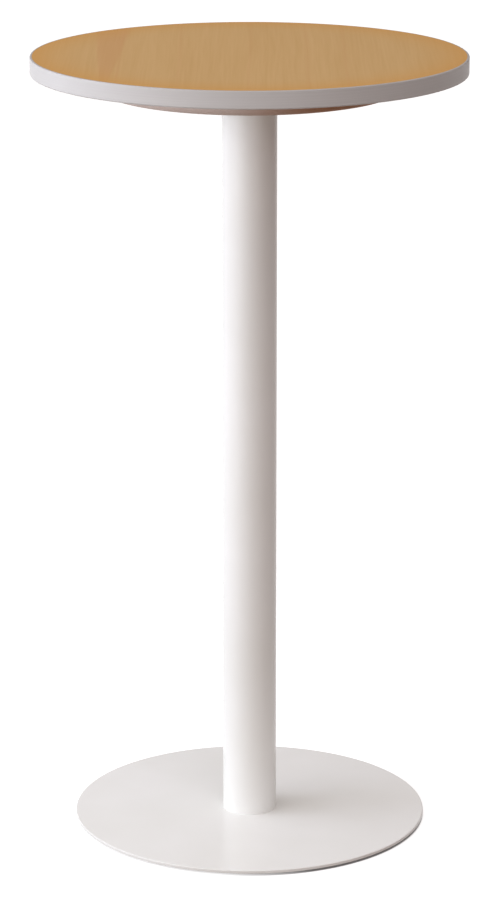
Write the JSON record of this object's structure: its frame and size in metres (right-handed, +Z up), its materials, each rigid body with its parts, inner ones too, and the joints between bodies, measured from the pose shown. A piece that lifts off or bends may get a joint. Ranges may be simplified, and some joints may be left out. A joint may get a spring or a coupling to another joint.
{
  "type": "standing meeting table",
  "caption": "Tall round pedestal table with a wood-grain top, white edge band, one white tube column and a flat round steel base on screw glides.",
  "frame": {"origin": "on the floor, under the axis of the column, with the glides screwed fully in", "axes": "+Z up along the column; +X and +Y level, with the joint of the edge band at +Y"},
  "size_m": [0.6, 0.6, 1.1],
  "materials": {
    "wood_grain_melamine": "satin, printed light-brown wood grain",
    "particle_board": "raw",
    "plain_melamine": "matt",
    "white_edge_plastic": "satin, pale grey",
    "brown_fibreboard": "clear lacquered, matt",
    "zinc_plated_steel": "zinc plated",
    "white_powder_coat": "satin powder coat",
    "bare_steel": "mill finish, welded",
    "black_nylon": "moulded"
  },
  "bodies": {
    "table": {"top_laminate": "wood_grain_melamine", "top_core": "particle_board", "balance_sheet": "plain_melamine", "edge_band": "white_edge_plastic", "sub_board": "brown_fibreboard", "sub_board_screws": "zinc_plated_steel", "threaded_inserts": "zinc_plated_steel", "head_plate": "white_powder_coat", "head_washers": "zinc_plated_steel", "head_bolts": "zinc_plated_steel", "head_weld": "white_powder_coat", "column_tube": "white_powder_coat", "foot_plug": "bare_steel", "foot_weld": "bare_steel", "base_plate": "white_powder_coat", "base_screws": "zinc_plated_steel"},
    "glide_pad_1": {"glide_pad_1": "black_nylon"},
    "glide_stem_1": {"glide_stem_1": "zinc_plated_steel"},
    "glide_pad_2": {"glide_pad_2": "black_nylon"},
    "glide_stem_2": {"glide_stem_2": "zinc_plated_steel"},
    "glide_pad_3": {"glide_pad_3": "black_nylon"},
    "glide_stem_3": {"glide_stem_3": "zinc_plated_steel"},
    "glide_pad_4": {"glide_pad_4": "black_nylon"},
    "glide_stem_4": {"glide_stem_4": "zinc_plated_steel"}
  },
  "joints": [
    {"name": "glide_travel_1", "type": "slide", "parent": "table", "child": "glide_pad_1", "axis": [0, 0, -1], "range_m": [0, 0.00125]},
    {"name": "glide_turn_1", "type": "hinge", "parent": "glide_pad_1", "child": "glide_stem_1", "pos_m": [0.15203, 0.15203, 0], "axis": [0, 0, -1], "range_deg": [0, 360]},
    {"name": "glide_travel_2", "type": "slide", "parent": "table", "child": "glide_pad_2", "axis": [0, 0, -1], "range_m": [0, 0.00125]},
    {"name": "glide_turn_2", "type": "hinge", "parent": "glide_pad_2", "child": "glide_stem_2", "pos_m": [-0.15203, 0.15203, 0], "axis": [0, 0, -1], "range_deg": [0, 360]},
    {"name": "glide_travel_3", "type": "slide", "parent": "table", "child": "glide_pad_3", "axis": [0, 0, -1], "range_m": [0, 0.00125]},
    {"name": "glide_turn_3", "type": "hinge", "parent": "glide_pad_3", "child": "glide_stem_3", "pos_m": [-0.15203, -0.15203, 0], "axis": [0, 0, -1], "range_deg": [0, 360]},
    {"name": "glide_travel_4", "type": "slide", "parent": "table", "child": "glide_pad_4", "axis": [0, 0, -1], "range_m": [0, 0.00125]},
    {"name": "glide_turn_4", "type": "hinge", "parent": "glide_pad_4", "child": "glide_stem_4", "pos_m": [0.15203, -0.15203, 0], "axis": [0, 0, -1], "range_deg": [0, 360]}
  ],
  "couplings": [
    {"joint": "glide_travel_1", "follows": "glide_turn_1", "m_per_rad": 0.00019894},
    {"joint": "glide_travel_2", "follows": "glide_turn_2", "m_per_rad": 0.00019894},
    {"joint": "glide_travel_3", "follows": "glide_turn_3", "m_per_rad": 0.00019894},
    {"joint": "glide_travel_4", "follows": "glide_turn_4", "m_per_rad": 0.00019894}
  ]
}
